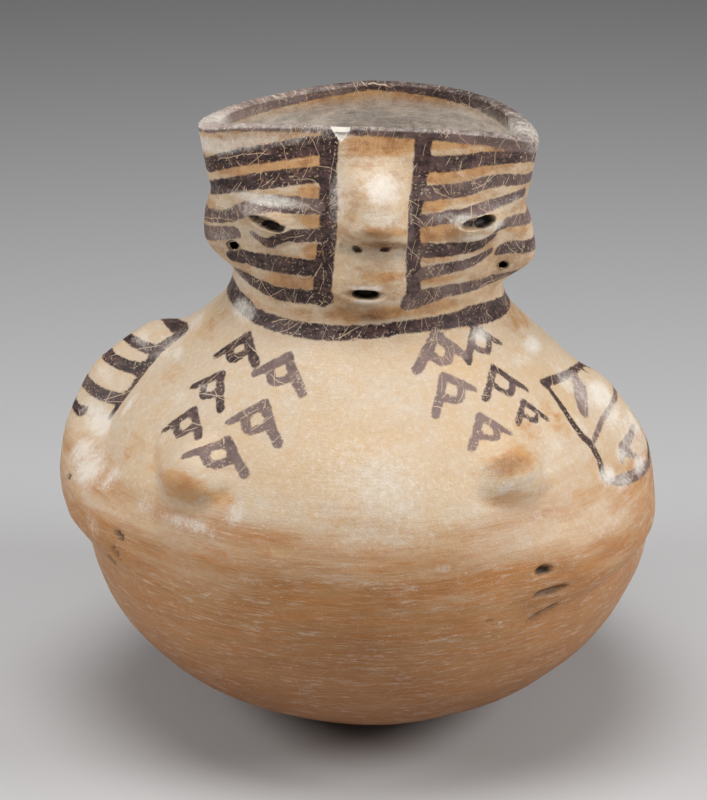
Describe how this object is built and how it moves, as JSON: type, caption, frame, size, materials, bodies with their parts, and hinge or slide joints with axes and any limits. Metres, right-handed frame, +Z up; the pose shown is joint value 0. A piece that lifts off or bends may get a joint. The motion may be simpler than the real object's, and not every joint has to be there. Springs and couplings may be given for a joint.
{
  "type": "effigy jar",
  "caption": "Hollow squat clay jar whose neck is a human head with pierced ears, and whose shoulders carry modelled arms, hands and breasts under a painted cream slip.",
  "frame": {"origin": "the middle of the small flat spot under the jar, on the surface it stands on", "axes": "+Z up; the face looks along -Y; +X is towards the jar's own left hand, on the right as one faces it"},
  "size_m": [0.1888, 0.18, 0.1967],
  "materials": {
    "slipped_clay": "low-fired orange clay under a burnished cream slip, with matt purple-brown painted stripes and motifs, fire clouding towards the base, fine scratches and chalky lime haze"
  },
  "bodies": {
    "root": {"effigy_jar": "slipped_clay"}
  },
  "joints": []
}
